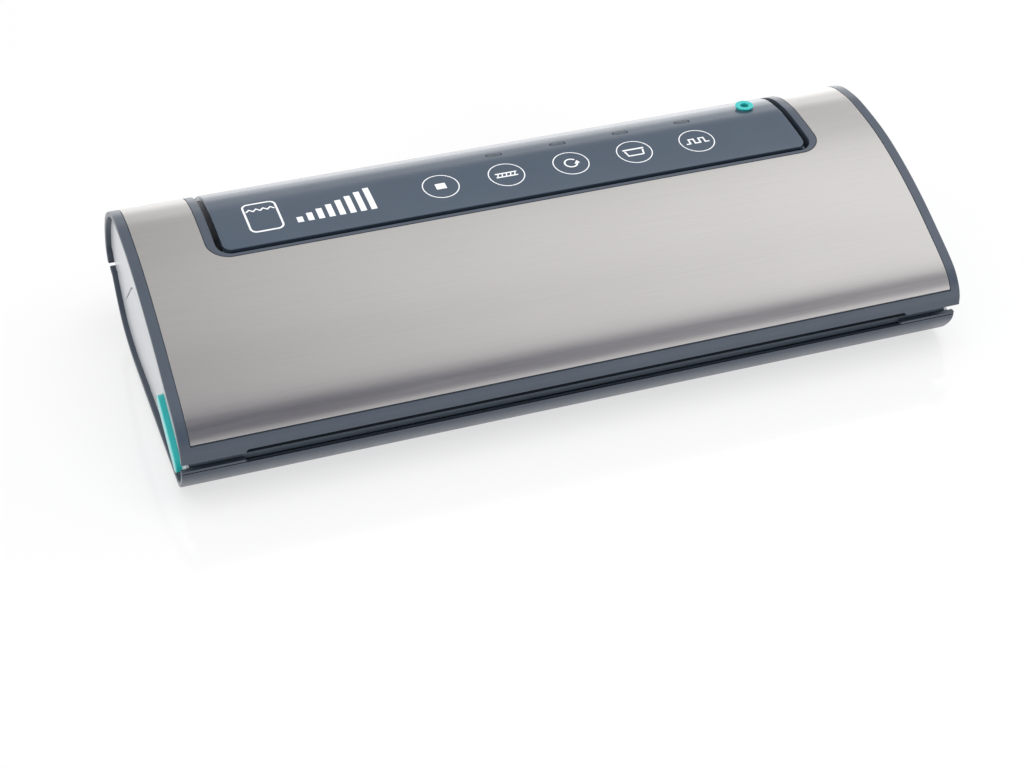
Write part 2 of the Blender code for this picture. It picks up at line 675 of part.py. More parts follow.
# ---------------------------------------------------------------- inside the rear housing
def build_pump():
    y, z = PUMP_AXIS
    motor = cylinder("pump_motor", (0.044, y, z), 0.0165, 0.048, "X")
    place(smooth_shade(motor), (STEEL_COLOUR, 0.35, 1.0))
    body = box("pump_body", (0.0840, y - 0.016, 0.0075), (0.1040, y + 0.016, 0.0600), 0.0015)
    place(body, (DARK_SLATE, 0.5))
    diaphragm = cylinder("pump_diaphragm", (0.0940, y, 0.0622), 0.0130, 0.0036)
    place(smooth_shade(diaphragm), (RUBBER, 0.8))
    bracket = box("pump_bracket", (0.0180, y - 0.016, 0.0052), (0.1060, y + 0.009, 0.0070))
    for x in (0.0260, 0.0580):
        add(bracket, box("rib", (x, y - 0.012, 0.0060), (x + 0.004, y + 0.009, 0.0150)))
    place(bracket, (STEEL_COLOUR, 0.4, 1.0))
    turn = pivot("pump_shaft_axis", (0.0, y, z))
    crank = cylinder("pump_crank", (0.0730, y, z), 0.0100, 0.0060, "X")
    add(crank, cylinder("shaft", (0.0700, y, z), 0.0020, 0.0030, "X", 12),
        cylinder("crank_pin", (0.0788, y, z + 0.005), 0.0020, 0.0080, "X", 12))
    place(smooth_shade(crank), (BRASS, 0.35, 1.0), turn)


def build_air_path():
    rear = TROUGH[2]
    nozzle = cylinder("vacuum_nozzle", (NOZZLE_X, (rear - 0.0035 + rear + 0.0095) / 2, NOZZLE_Z),
                      0.0029, 0.0130, "Y", 16)
    bore = cylinder("bore", (NOZZLE_X, rear, NOZZLE_Z), 0.0016, 0.04, "Y", 12)
    place(smooth_shade(cut(nozzle, bore)), (DARK_SLATE, 0.4))
    hose = [(NOZZLE_X, -0.0042, NOZZLE_Z), (NOZZLE_X, 0.0106, NOZZLE_Z)]
    place(smooth_shade(tube("vacuum_hose", hose, 0.0027)), (SILICONE, 0.6))
    valve = box("solenoid_valve", (0.1160, 0.0150, 0.0052), (0.1360, 0.0350, 0.0240), 0.001)
    add(valve, cylinder("spout", (0.1260, 0.0250, 0.0260), 0.0026, 0.0060, sides=12))
    place(valve, (DARK_SLATE, 0.4))
    x, y = PORT
    drop = smooth([(x, y, 0.0656), (x, y, 0.0560), (0.1300, 0.0330, 0.0440),
                   (0.1260, 0.0250, 0.0360), (0.1260, 0.0250, 0.0294)], 4)
    place(smooth_shade(tube("port_hose", drop, 0.0027)), (SILICONE, 0.6))


def build_electrics():
    board = box("control_board", (-0.060, 0.0090, 0.0700), (0.118, 0.0520, 0.0716))
    for x in TOUCH_KEYS:
        add(board, cylinder("pad", (x, TOUCH_Y, 0.0730), 0.0060, 0.0036, sides=16))
    place(board, (BOARD_GREEN, 0.5))
    place(box("power_board", (-0.130, 0.0110, 0.0100), (-0.020, 0.0490, 0.0116)),
          (BOARD_GREEN, 0.5))
    core = box("transformer", (-0.112, 0.0150, 0.0119), (-0.066, 0.0470, 0.0440), 0.001)
    place(core, (AMBER, 0.5))
    sensor = box("lid_sensor", (-0.006, 0.0056, 0.0450), (0.006, 0.0110, 0.0600), 0.0004)
    place(sensor, (DARK_SLATE, 0.5))
    x0, x1, z0, z1 = INLET
    inlet = box("power_inlet", (x0, 0.0660, z0), (x1, 0.0848, z1))
    middle_x, middle_z = (x0 + x1) / 2, (z0 + z1) / 2
    socket = prism("socket", stadium((-middle_x - 0.005, middle_z), (-middle_x + 0.005, middle_z),
                                     0.0038), 0.0740, 0.1, "Y")
    cut(inlet, socket)
    for dx in (-0.0045, 0.0045):
        add(inlet, cylinder("contact", (middle_x + dx, 0.0775, middle_z), 0.0011, 0.0090, "Y", 10))
    place(inlet, (RUBBER, 0.4))


def main():
    lid = pivot("lid_hinge", (0, *HINGE))
    build_lid_frame(lid)
    build_lid_cover(lid)
    build_lid_end_panels(lid)
    build_lid_liner(lid)
    build_lid_hooks(lid)
    build_lid_magnet(lid)
    build_seals(lid)
    build_base_tray()
    build_base_deck()
    build_end_panels()
    build_rear_housing()
    build_control_panel()
    build_led_windows()
    build_hose_port()
    build_sealer()
    build_feet_and_screws()
    build_hinge()
    build_releases()
    build_pump()
    build_air_path()
    build_electrics()


main()
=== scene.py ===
"""Looks of a countertop vacuum sealer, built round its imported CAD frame.

Metres, +Z up, the user's side is -Y. The section of the housing is drawn in the Y-Z plane
and runs along X, so most shells are prisms of that section with rounded edges.
"""

import math

import bmesh
import bpy
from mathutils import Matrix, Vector


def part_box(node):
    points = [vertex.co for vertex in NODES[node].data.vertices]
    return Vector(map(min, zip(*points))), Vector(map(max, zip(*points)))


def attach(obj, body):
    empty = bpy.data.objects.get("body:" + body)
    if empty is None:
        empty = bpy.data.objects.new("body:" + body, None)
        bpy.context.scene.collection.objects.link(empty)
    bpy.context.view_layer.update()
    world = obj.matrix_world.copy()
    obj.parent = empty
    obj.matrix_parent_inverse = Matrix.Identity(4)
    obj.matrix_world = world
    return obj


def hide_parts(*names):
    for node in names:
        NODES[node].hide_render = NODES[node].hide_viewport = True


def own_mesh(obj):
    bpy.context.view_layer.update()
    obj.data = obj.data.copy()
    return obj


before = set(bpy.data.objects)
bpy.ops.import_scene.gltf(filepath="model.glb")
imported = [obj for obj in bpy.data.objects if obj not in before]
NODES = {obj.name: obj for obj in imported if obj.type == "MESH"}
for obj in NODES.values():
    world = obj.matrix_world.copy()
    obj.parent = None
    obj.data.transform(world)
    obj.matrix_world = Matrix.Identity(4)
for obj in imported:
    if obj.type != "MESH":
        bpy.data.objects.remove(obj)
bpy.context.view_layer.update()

# ---------------------------------------------------------------- sizes that the CAD also has (m)
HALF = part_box("lid_frame")[1].x
GAP = 0.0003
WALL = 0.0022
STRIP = 0.0050
RECESS = 0.0026
PANEL = 0.0018
LID_SHELL = 0.0026
STEEL = 0.0006
HINGE = (0.0748, 0.0370)
CHEEK_RADIUS = 0.0066
SKIRT_END_Z = 0.0262
SLOT_TOP_Z = 0.0279
SLOT_HALF = 0.1655
STEEL_FRONT_Z = 0.0342
STEEL_REAR_Z = 0.0400
NOTCH_STEEL = (0.1580, -0.0020, 0.0110)     # half width, front y, corner radius
NOTCH_OPEN = (0.1537, -0.0002, 0.0075)
FASCIA = (0.1506, 0.0021, 0.0050)
FASCIA_WALL = 0.0024
FASCIA_REAR_Y = 0.0660
DECK_TOP = 0.0215
BUTTON_LINE = ((-0.0395, 0.0268), (-0.0655, 0.0122))
BUTTON_RADIUS = 0.0048
BUTTON_PROUD = 0.0003
LATCH_Y = -0.0600
HOOK_X = 0.1750
KEY_PITCH = 0.0340
KEY_FIRST = -0.0381
KEY_Y = 0.0206
LED_Y = 0.0401
LED_SIZE = (0.0080, 0.0030)
PORT = (0.1348, 0.0440)
RIM_STEP_Z = 0.0184
COVER_RADIUS = 0.0096
COVER_FROM_X = 0.1512
STEEL_FRONT_GAP = 0.0007
FEET = [(x, y) for y in (-0.0550, 0.0260) for x in (-0.1650, 0.1650)]
SCREWS = [(-0.1200, -0.0640), (0.1200, -0.0640), (-0.1500, -0.0020), (0.1500, -0.0020)]
LID_CURVE = [(-0.0875, SKIRT_END_Z), (-0.0868, 0.0320), (-0.0832, 0.0382), (-0.0760, 0.0444),
             (-0.0583, 0.0537), (-0.0399, 0.0625), (-0.0189, 0.0706), (0.0026, 0.0766),
             (0.0246, 0.0797), (0.0380, 0.0800), (0.0530, 0.0773), (0.0692, 0.0677),
             (0.0800, 0.0552), (0.0862, 0.0425), (0.0875, 0.0355), (0.0861, 0.0294)]
BASE_CURVE = [(0.0762, 0.0286), (0.0743, 0.0258), (0.0690, 0.0180), (0.0609, 0.0100),
              (0.0500, 0.0052), (0.0350, 0.0028), (0.0200, 0.0026), (-0.0500, 0.0026),
              (-0.0680, 0.0026), (-0.0745, 0.0045), (-0.0800, 0.0100), (-0.0834, 0.0155),
              (-0.0840, 0.0199)]
SEAM_KNEE = (0.0521, 0.0284)
SEAM_CURVE = [(0.0273, 0.0500), (0.0210, 0.0522), (0.0100, 0.0524), (-0.0020, 0.0500),
              (-0.0140, 0.0455), (-0.0260, 0.0408), (-0.0380, 0.0360), (-0.0500, 0.0310),
              (-0.0600, 0.0276), (-0.0680, SKIRT_END_Z)]
SEAM_REAR = (0.0700, 0.0300)
SEAM_GAP = 0.0007
SHELL_CORNER = 0.0008                        # corners of the shells' sections
SHELL_EDGE = 0.0006                          # rounded rims at the ends of the shells
SLOT_CORNER = 0.0016
END_WALL = (0.1883, 0.1903)                  # x of the walls that close the tray
LATCH_HOLE_HALF = 0.0024
PANEL_INSET = LID_SHELL + GAP                # side panels stay inside the moulded lips
COIL_AXIS = (LATCH_Y, 0.0155)                # y, z of the springs behind the buttons
KEYS = range(5)
LIGHTS = range(1, 5)                         # every key but the first has a light
SIDES = (("left", -1), ("right", 1))

# ---------------------------------------------------------------- camera
CAMERA_PLACE = (-0.30243, -0.83174, 0.60358)
CAMERA_TURN = (54.187, 0.0, -19.463)          # degrees
LENS = 74.12
SENSOR = 36.0


# ---------------------------------------------------------------- outlines
def smooth(points, steps=10):
    """Catmull-Rom curve through the points, with its ends on the first and last point."""
    vectors = [Vector(p) for p in points]
    vectors = [2 * vectors[0] - vectors[1], *vectors, 2 * vectors[-1] - vectors[-2]]
    result = []
    for a, b, c, d in zip(vectors, vectors[1:], vectors[2:], vectors[3:]):
        for step in range(steps):
            t = step / steps
            point = 2 * b + (c - a) * t + (2 * a - 5 * b + 4 * c - d) * t ** 2
            result.append((point + (3 * b - 3 * c + d - a) * t ** 3) / 2)
    result.append(vectors[-2])
    return [tuple(p) for p in result]


def offset(path, distance):
    """The open path moved sideways, to the right of its direction."""
    points = [Vector(p) for p in path]
    result = []
    for index, point in enumerate(points):
        before = (point - points[index - 1]).normalized() if index else None
        after = (points[index + 1] - point).normalized() if index + 1 < len(points) else None
        along = (before or after) + (after or before)
        along.normalize()
        stretch = 1 / max(along.dot(after or before), 0.5)
        result.append(tuple(point + Vector((along.y, -along.x)) * distance * stretch))
    return result


def band(path, outer, inner):
    """Closed outline between two offsets of one path."""
    return offset(path, outer) + offset(path, inner)[::-1]


def arc(centre, radius, start, end, steps=16):
    """Points on a circle from one angle to another, in degrees."""
    angles = [math.radians(start + (end - start) * k / steps) for k in range(steps + 1)]
    return [(centre[0] + radius * math.cos(a), centre[1] + radius * math.sin(a)) for a in angles]


def rectangle(low, high, radius=0.0, steps=8):
    """Rectangle between two corners, its corners rounded when a radius is given."""
    if not radius:
        return [(low[0], low[1]), (high[0], low[1]), (high[0], high[1]), (low[0], high[1])]
    left, right = low[0] + radius, high[0] - radius
    front, back = low[1] + radius, high[1] - radius
    corners = [(right, back, 0), (left, back, 90), (left, front, 180), (right, front, 270)]
    return [p for x, y, a in corners for p in arc((x, y), radius, a, a + 90, steps)]


def stadium(start, end, radius, steps=14):
    """Outline of a bar with round ends between two centres."""
    heading = math.degrees(math.atan2(end[1] - start[1], end[0] - start[0]))
    return arc(end, radius, heading - 90, heading + 90, steps) + \
        arc(start, radius, heading + 90, heading + 270, steps)


def fillet(outline, radius, steps=3):
    """Closed outline with a curve in the place of each sharp corner."""
    result = []
    for index, point in enumerate(outline):
        corner = Vector(point)
        back = Vector(outline[index - 1]) - corner
        on = Vector(outline[(index + 1) % len(outline)]) - corner
        inside = back.angle(on, math.pi)
        if math.pi - inside < 0.6:
            result.append(point)
            continue
        reach = min(radius / math.tan(inside / 2), 0.45 * back.length, 0.45 * on.length)
        start = corner + back.normalized() * reach
        end = corner + on.normalized() * reach
        for k in range(steps + 1):
            t = k / steps
            result.append(tuple(start * (1 - t) ** 2 + corner * 2 * t * (1 - t) + end * t * t))
    return result


LID_PATH = smooth(LID_CURVE)
BASE_PATH = smooth(BASE_CURVE)
SEAM_PATH = smooth(SEAM_CURVE, 5)


def cross(path, z, rising):
    """Point where the path passes height z, on its rising or its falling stretch."""
    for (y0, z0), (y1, z1) in zip(path, path[1:]):
        if (z0 <= z < z1) if rising else (z0 > z >= z1):
            part = (z - z0) / (z1 - z0)
            return (y0 + (y1 - y0) * part, z)
    raise ValueError("the path does not pass this height")


def lid_run(front_z, rear_z):
    """The lid's section from one height at the front to another at the back."""
    start = cross(LID_PATH, front_z, True)
    end = cross(LID_PATH, rear_z, False)
    middle = [p for p in LID_PATH if (p[0] < 0 and p[1] > front_z) or (p[0] >= 0 and p[1] > rear_z)]
    return [start, *middle, end]


def lid_height(y):
    """Height of the lid's top at a place."""
    top = [p for p in LID_PATH if p[1] > 0.035]
    for (y0, z0), (y1, z1) in zip(top, top[1:]):
        if y0 <= y < y1:
            return z0 + (z1 - z0) * (y - y0) / (y1 - y0)
    raise ValueError("the lid has no top there")


def lid_between(front_y, rear_y):
    """The lid's section between two places on its top."""
    middle = [p for p in LID_PATH if p[1] > 0.05 and front_y < p[0] < rear_y]
    return [(front_y, lid_height(front_y)), *middle, (rear_y, lid_height(rear_y))]


CHEEK_TOP_Z = 0.0400
CHEEK_FOOT = arc(HINGE, CHEEK_RADIUS, 0, -115)


def lid_end_outline(inset):
    """The lid's end, inside its lip and above the seam."""
    top = offset(lid_run(SKIRT_END_Z + GAP, CHEEK_TOP_Z), inset)
    return top + CHEEK_FOOT + [SEAM_KNEE] + SEAM_PATH


def base_end_outline(inset):
    """The base's end, inside its lip and below the seam."""
    seam = offset([SEAM_REAR, SEAM_KNEE] + SEAM_PATH, -SEAM_GAP)
    return offset(BASE_PATH, inset) + seam[::-1]


def notch_outline(half_width, front, radius):
    return rectangle((-half_width, front), (half_width, 0.120), radius, 10)


def button_outline(extra=0.0):
    return stadium(*BUTTON_LINE, BUTTON_RADIUS + extra)


def sides_of(low, high, side):
    """An interval measured outwards from the middle, on the left (-1) or right (+1) side."""
    return (low, high) if side > 0 else (-high, -low)


# ---------------------------------------------------------------- mesh helpers
def new_object(name, mesh):
    thing = bpy.data.objects.new(name, mesh)
    bpy.context.scene.collection.objects.link(thing)
    return thing


def baked(thing):
    """The object's mesh with its modifiers in it."""
    bpy.context.view_layer.update()
    graph = bpy.context.evaluated_depsgraph_get()
    mesh = bpy.data.meshes.new_from_object(thing.evaluated_get(graph))
    thing.modifiers.clear()
    thing.data = mesh
    return thing


AXES = {"X": (math.pi / 2, 0, math.pi / 2), "Y": (math.pi / 2, 0, math.pi), "Z": (0, 0, 0)}


def prism(name, outline, low, high, axis="X", holes=(), edge=0.0):
    """A flat outline with a thickness and rounded rims. The outline's two numbers are (y, z) along
    X, (-x, z) along Y and (x, y) along Z."""
    curve = bpy.data.curves.new(name, "CURVE")
    curve.dimensions = "2D"
    curve.fill_mode = "BOTH"
    curve.extrude = (high - low) / 2 - edge
    curve.bevel_depth = edge
    curve.bevel_resolution = 2
    curve.offset = -edge
    for loop in (outline, *holes):
        spline = curve.splines.new("POLY")
        spline.points.add(len(loop) - 1)
        for point, (a, b) in zip(spline.points, loop):
            point.co = (a, b, 0, 1)
        spline.use_cyclic_u = True
    shape = bpy.data.objects.new(name, curve)
    shape.rotation_euler = AXES[axis]
    middle = (high + low) / 2
    shape.location = {"X": (middle, 0, 0), "Y": (0, middle, 0), "Z": (0, 0, middle)}[axis]
    return solid_from_curve(shape, name)


def solid_from_curve(shape, name):
    """Closed mesh object in the place of a curve object, with its place in its vertices."""
    bpy.context.scene.collection.objects.link(shape)
    bpy.context.view_layer.update()
    graph = bpy.context.evaluated_depsgraph_get()
    mesh = bpy.data.meshes.new_from_object(shape.evaluated_get(graph))
    body = bmesh.new()
    body.from_mesh(mesh)
    bmesh.ops.remove_doubles(body, verts=body.verts, dist=0.000001)
    bmesh.ops.recalc_face_normals(body, faces=body.faces)
    if body.calc_volume(signed=True) < 0:
        bmesh.ops.reverse_faces(body, faces=body.faces)
    body.transform(shape.matrix_world)
    body.to_mesh(mesh)
    body.free()
    bpy.data.objects.remove(shape, do_unlink=True)
    return new_object(name, mesh)


def block(name, low, high, edge=0.0, steps=2):
    """Block between two corners with rounded edges."""
    body = bmesh.new()
    bmesh.ops.create_cube(body, size=1.0)
    for vertex in body.verts:
        vertex.co = [a + (b - a) * (c + 0.5) for a, b, c in zip(low, high, vertex.co)]
    if edge:
        bmesh.ops.bevel(body, geom=body.edges[:], offset=edge, segments=steps, profile=0.5,
                        affect="EDGES", clamp_overlap=True)
    mesh = bpy.data.meshes.new(name)
    body.to_mesh(mesh)
    body.free()
    return new_object(name, mesh)


def turned(name, profile, centre, sides=64):
    """Closed shape turned about a vertical axis; its (radius, height) profile starts and ends on
    the axis, or closes on itself to make a ring."""
    ring = profile[0][0] > 0
    vertices = []
    faces = []
    for radius, height in profile:
        for k in range(sides):
            a = 2 * math.pi * k / sides
            vertices.append((radius * math.cos(a), radius * math.sin(a), height))
    rows = len(profile)
    for row in range(rows if ring else rows - 1):
        below, above = row * sides, (row + 1) % rows * sides
        for k in range(sides):
            after = (k + 1) % sides
            faces.append((below + k, below + after, above + after, above + k))
    mesh = bpy.data.meshes.new(name)
    mesh.from_pydata(vertices, [], faces)
    body = bmesh.new()
    body.from_mesh(mesh)
    bmesh.ops.remove_doubles(body, verts=body.verts, dist=0.0000001)
    bmesh.ops.recalc_face_normals(body, faces=body.faces)
    bmesh.ops.translate(body, verts=body.verts, vec=centre)
    body.to_mesh(mesh)
    body.free()
    return new_object(name, mesh)


def tube(name, points, radius, sides=4):
    """Round rod or hose along points, with closed ends."""
    curve = bpy.data.curves.new(name, "CURVE")
    curve.dimensions = "3D"
    curve.bevel_depth = radius
    curve.bevel_resolution = sides
    curve.use_fill_caps = True
    spline = curve.splines.new("POLY")
    spline.points.add(len(points) - 1)
    for point, place in zip(spline.points, points):
        point.co = (*place, 1)
    return solid_from_curve(bpy.data.objects.new(name, curve), name)


def combine(target, tool, operation):
    """Boolean between two closed meshes, applied at once; the tool is used up."""
    change = target.modifiers.new(operation.lower(), "BOOLEAN")
    change.operation = operation
    change.solver = "MANIFOLD"
    change.object = tool
    baked(target)
    bpy.data.objects.remove(tool, do_unlink=True)
    return target


def add(target, *tools):
    for tool in tools:
        combine(target, tool, "UNION")
    return target


def cut(target, *tools):
    for tool in tools:
        combine(target, tool, "DIFFERENCE")
    return target


def soften(thing, width, near=None, steps=2, angle=40):
    """Round the sharp edges whose middle passes near()."""
    body = bmesh.new()
    body.from_mesh(thing.data)
    close = [v for v in body.verts if near is None or near(v.co)]
    bmesh.ops.remove_doubles(body, verts=close, dist=0.000004)
    limit = math.radians(angle)
    sharp = []
    for edge in body.edges:
        if len(edge.link_faces) != 2 or edge.calc_face_angle(0) < limit:
            continue
        if near is None or near((edge.verts[0].co + edge.verts[1].co) / 2):
            sharp.append(edge)
    bmesh.ops.bevel(body, geom=sharp, offset=width, segments=steps, profile=0.5,
                    affect="EDGES", clamp_overlap=False, miter_outer="ARC")
    body.to_mesh(thing.data)
    body.free()
    return thing


def shade(thing, angle=30):
    thing.data.shade_smooth()
    thing.data.set_sharp_from_angle(angle=math.radians(angle))
    even = thing.modifiers.new("even_normals", "WEIGHTED_NORMAL")
    even.keep_sharp = True
    return thing


def show(thing, look, body, replaced=(), angle=30):
    """Give a finished piece its material and its body, and hide the CAD nodes that it stands for."""
    shade(thing, angle)
    thing.data.materials.clear()
    thing.data.materials.append(look)
    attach(thing, body)
    if replaced:
        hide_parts(*replaced)
    return thing


# ---------------------------------------------------------------- materials
class Look:
    """A node material, built round one Principled shader."""

    def __init__(self, name):
        self.material = bpy.data.materials.new(name)
        self.material.use_nodes = True
        self.nodes = self.material.node_tree.nodes
        self.links = self.material.node_tree.links
        self.shader = self.nodes["Principled BSDF"]
        self.place = self.nodes.new("ShaderNodeTexCoord").outputs["Object"]

    def set(self, **values):
        for name, value in values.items():
            self.shader.inputs[name.replace("_", " ")].default_value = value

    def noise(self, scale, detail=3.0, stretch=(1, 1, 1), roughness=0.5):
        mapping = self.nodes.new("ShaderNodeMapping")
        mapping.inputs["Scale"].default_value = stretch
        self.links.new(self.place, mapping.inputs["Vector"])
        noise = self.nodes.new("ShaderNodeTexNoise")
        noise.inputs["Scale"].default_value = scale
        noise.inputs["Detail"].default_value = detail
        noise.inputs["Roughness"].default_value = roughness
        self.links.new(mapping.outputs["Vector"], noise.inputs["Vector"])
        return noise.outputs["Fac"]

    def spread(self, value, low, high, start=0.3, end=0.7):
        node = self.nodes.new("ShaderNodeMapRange")
        node.inputs["From Min"].default_value = start
        node.inputs["From Max"].default_value = end
        node.inputs["To Min"].default_value = low
        node.inputs["To Max"].default_value = high
        self.links.new(value, node.inputs["Value"])
        return node.outputs["Result"]

    def blend(self, value, first, second):
        node = self.nodes.new("ShaderNodeMix")
        node.data_type = "RGBA"
        self.links.new(value, node.inputs["Factor"])
        node.inputs[6].default_value = (*first, 1)
        node.inputs[7].default_value = (*second, 1)
        return node.outputs[2]

    def colour(self, output):
        self.links.new(output, self.shader.inputs["Base Color"])

    def rough(self, output):
        self.links.new(output, self.shader.inputs["Roughness"])

    def bump(self, value, strength, depth):
        node = self.nodes.new("ShaderNodeBump")
        node.inputs["Strength"].default_value = strength
        node.inputs["Distance"].default_value = depth
        self.links.new(value, node.inputs["Height"])
        before = self.shader.inputs["Normal"].links
        if before:
            self.links.new(before[0].from_socket, node.inputs["Normal"])
        self.links.new(node.outputs["Normal"], self.shader.inputs["Normal"])


def plastic(name, first, second, low, high, grain=2600.0, depth=0.00002, **extra):
    """Moulded plastic: fine spark-eroded grain, slow changes of shade and gloss."""
    look = Look(name)
    slow = look.noise(26.0, 2.0)
    fine = look.noise(grain, 2.0)
    look.colour(look.blend(look.spread(slow, 0.0, 1.0), first, second))
    look.rough(look.spread(look.noise(90.0, 4.0), low, high))
    look.bump(fine, 0.35, depth)
    look.set(**extra)
    return look.material


def metal(name, first, second, low, high, stretch=(1, 1, 1), scale=400.0, **extra):
    """Drawn or turned metal with fine marks along one direction."""
    look = Look(name)
    marks = look.noise(scale, 3.0, stretch)
    look.colour(look.blend(look.spread(marks, 0.0, 1.0), first, second))
    look.rough(look.spread(look.noise(scale / 3, 3.0, stretch), low, high))
    look.bump(marks, 0.15, 0.00002)
    look.set(Metallic=1.0, **extra)
    return look.material


def brushed_steel():
    """Stainless sheet with its grain along X, which spreads reflections across the grain."""
    look = Look("brushed_stainless")
    long_lines = look.noise(1.0, 4.0, (5.0, 2300.0, 2300.0), 0.6)
    short_lines = look.noise(1.0, 2.0, (34.0, 5200.0, 5200.0), 0.6)
    clouds = look.noise(9.0, 2.0)
    shades = look.nodes.new("ShaderNodeMath")
    shades.operation = "MULTIPLY_ADD"
    look.links.new(long_lines, shades.inputs[0])
    shades.inputs[1].default_value = 0.6
    look.links.new(look.spread(short_lines, 0.0, 0.4), shades.inputs[2])
    lines = shades.outputs[0]
    look.colour(look.blend(look.spread(lines, 0.0, 1.0, 0.2, 0.9),
                           (0.57, 0.555, 0.54), (0.66, 0.645, 0.63)))
    rough = look.nodes.new("ShaderNodeMath")
    rough.operation = "ADD"
    look.links.new(look.spread(lines, 0.27, 0.36, 0.2, 0.9), rough.inputs[0])
    look.links.new(look.spread(clouds, 0.0, 0.03), rough.inputs[1])
    look.rough(rough.outputs[0])
    look.bump(lines, 0.10, 0.000012)
    tangent = look.nodes.new("ShaderNodeTangent")
    tangent.direction_type = "RADIAL"
    tangent.axis = "X"
    look.links.new(tangent.outputs["Tangent"], look.shader.inputs["Tangent"])
    look.set(Metallic=1.0, Anisotropic=0.55)
    return look.material


SLATE_A = (0.049, 0.064, 0.089)
SLATE_B = (0.055, 0.072, 0.099)
LOOKS = {
    "shell": plastic("slate_satin", SLATE_A, SLATE_B, 0.30, 0.38, Coat_Weight=0.15, Coat_Roughness=0.25),
    "panel": plastic("slate_gloss", (0.046, 0.067, 0.099), (0.050, 0.073, 0.106), 0.16, 0.21, 3200.0,
                     0.000006, Coat_Weight=0.25, Coat_Roughness=0.10),
    "deck": plastic("slate_deck_moulding", (0.060, 0.078, 0.102), (0.068, 0.088, 0.114), 0.36, 0.46),
    "dark": plastic("black_nylon", (0.018, 0.019, 0.021), (0.026, 0.027, 0.030), 0.38, 0.50),
    "side": plastic("silver_grey_satin", (0.50, 0.52, 0.545), (0.515, 0.535, 0.56), 0.28, 0.32, 2800.0,
                    0.000004, Coat_Weight=0.2, Coat_Roughness=0.2),
    "teal": plastic("teal_satin", (0.020, 0.46, 0.45), (0.026, 0.50, 0.49), 0.22, 0.30, 2400.0,
                    0.00001, Coat_Weight=0.3, Coat_Roughness=0.15),
    "rubber": plastic("black_rubber_soft", (0.016, 0.016, 0.017), (0.026, 0.026, 0.027), 0.62, 0.80,
                      1500.0, 0.00004),
    "foam": plastic("seal_foam", (0.030, 0.031, 0.034), (0.046, 0.047, 0.050), 0.75, 0.92, 1900.0,
                    0.00012),
    "silicone": plastic("silicone_grey", (0.060, 0.062, 0.066), (0.075, 0.077, 0.080), 0.40, 0.52,
                        900.0, 0.00002, Coat_Weight=0.1, Coat_Roughness=0.4),
    "print": plastic("white_ink", (0.80, 0.82, 0.84), (0.86, 0.87, 0.88), 0.30, 0.42, 3000.0, 0.000004),
    "lens": plastic("smoked_lens", (0.060, 0.075, 0.092), (0.075, 0.090, 0.108), 0.12, 0.20, 2200.0,
                    0.000004, Coat_Weight=0.5, Coat_Roughness=0.08),
    "film": plastic("release_film", (0.30, 0.18, 0.065), (0.36, 0.22, 0.085), 0.34, 0.46, 1300.0,
                    0.00004),
    "board": plastic("circuit_board_green", (0.012, 0.10, 0.040), (0.020, 0.14, 0.060), 0.30, 0.44,
                     700.0, 0.00002),
    "steel": brushed_steel(),
    "plated": metal("zinc_plated", (0.50, 0.50, 0.50), (0.62, 0.61, 0.60), 0.24, 0.38),
    "brass": metal("turned_brass", (0.60, 0.43, 0.17), (0.70, 0.52, 0.24), 0.26, 0.38),
    "copper": metal("lacquered_copper", (0.42, 0.18, 0.07), (0.55, 0.26, 0.11), 0.28, 0.42),
    "magnet": metal("nickel_magnet", (0.38, 0.37, 0.36), (0.47, 0.46, 0.45), 0.20, 0.34),
}


# ---------------------------------------------------------------- lid
def build_lid_shell():
    skirt = fillet(band(LID_PATH, 0, LID_SHELL), SHELL_CORNER)
    shell = prism("lid_shell", skirt, -HALF, HALF, edge=SHELL_EDGE)
    seat = prism("seat", band(lid_run(STEEL_FRONT_Z, STEEL_REAR_Z), -0.002, STEEL + GAP),
                 -HALF + STRIP, HALF - STRIP)
    cut(seat, prism("rim", notch_outline(*NOTCH_STEEL), 0.0, 0.1, "Z"))
    cut(shell, seat, prism("opening", notch_outline(*NOTCH_OPEN), 0.0, 0.1, "Z"))
    slot = rectangle((-SLOT_HALF, 0.02), (SLOT_HALF, SLOT_TOP_Z), SLOT_CORNER, 8)
    cut(shell, prism("slot", slot, -0.1, -0.08, "Y"))
    half_width, front, _ = NOTCH_OPEN

    def on_rim(point):
        inside = abs(abs(point.x) - half_width) < 0.0012 or abs(point.y - front) < 0.0012
        around = abs(point.x) < half_width + 0.001 and point.y > front - 0.001
        corner = point.y < front + 0.009 and abs(point.x) > half_width - 0.009
        return around and (inside or corner)
    soften(shell, 0.0004, on_rim)

    def on_seat(point):
        low = abs(point.z - STEEL_FRONT_Z) < 0.0002 and point.y < -0.0840
        return low and abs(point.x) < HALF - STRIP
    soften(shell, 0.00025, on_seat)
    lower = [(0.0600, 0.0330), (0.0360, 0.0640), (0.0010, 0.0660)]
    cheek = offset(lid_between(0.0010, 0.0700), 0.0018) + \
        offset([p for p in lid_run(0.06, CHEEK_TOP_Z) if p[0] > 0.0705], 0.0018) + CHEEK_FOOT + lower
    for _, side in SIDES:
        wall = prism("end_wall", lid_end_outline(0.0018), *sides_of(0.1882, 0.1902, side))
        inner = prism("cheek", cheek, *sides_of(NOTCH_OPEN[0] + 0.0001, NOTCH_OPEN[0] + 0.0018, side))
        hole = prism("pin_hole", arc(HINGE, 0.0023, 0, 337.5, 15), *sides_of(0.14, 0.20, side))
        add(shell, wall, inner)
        cut(shell, hole)
    show(shell, LOOKS["shell"], "lid", ["lid_frame"])


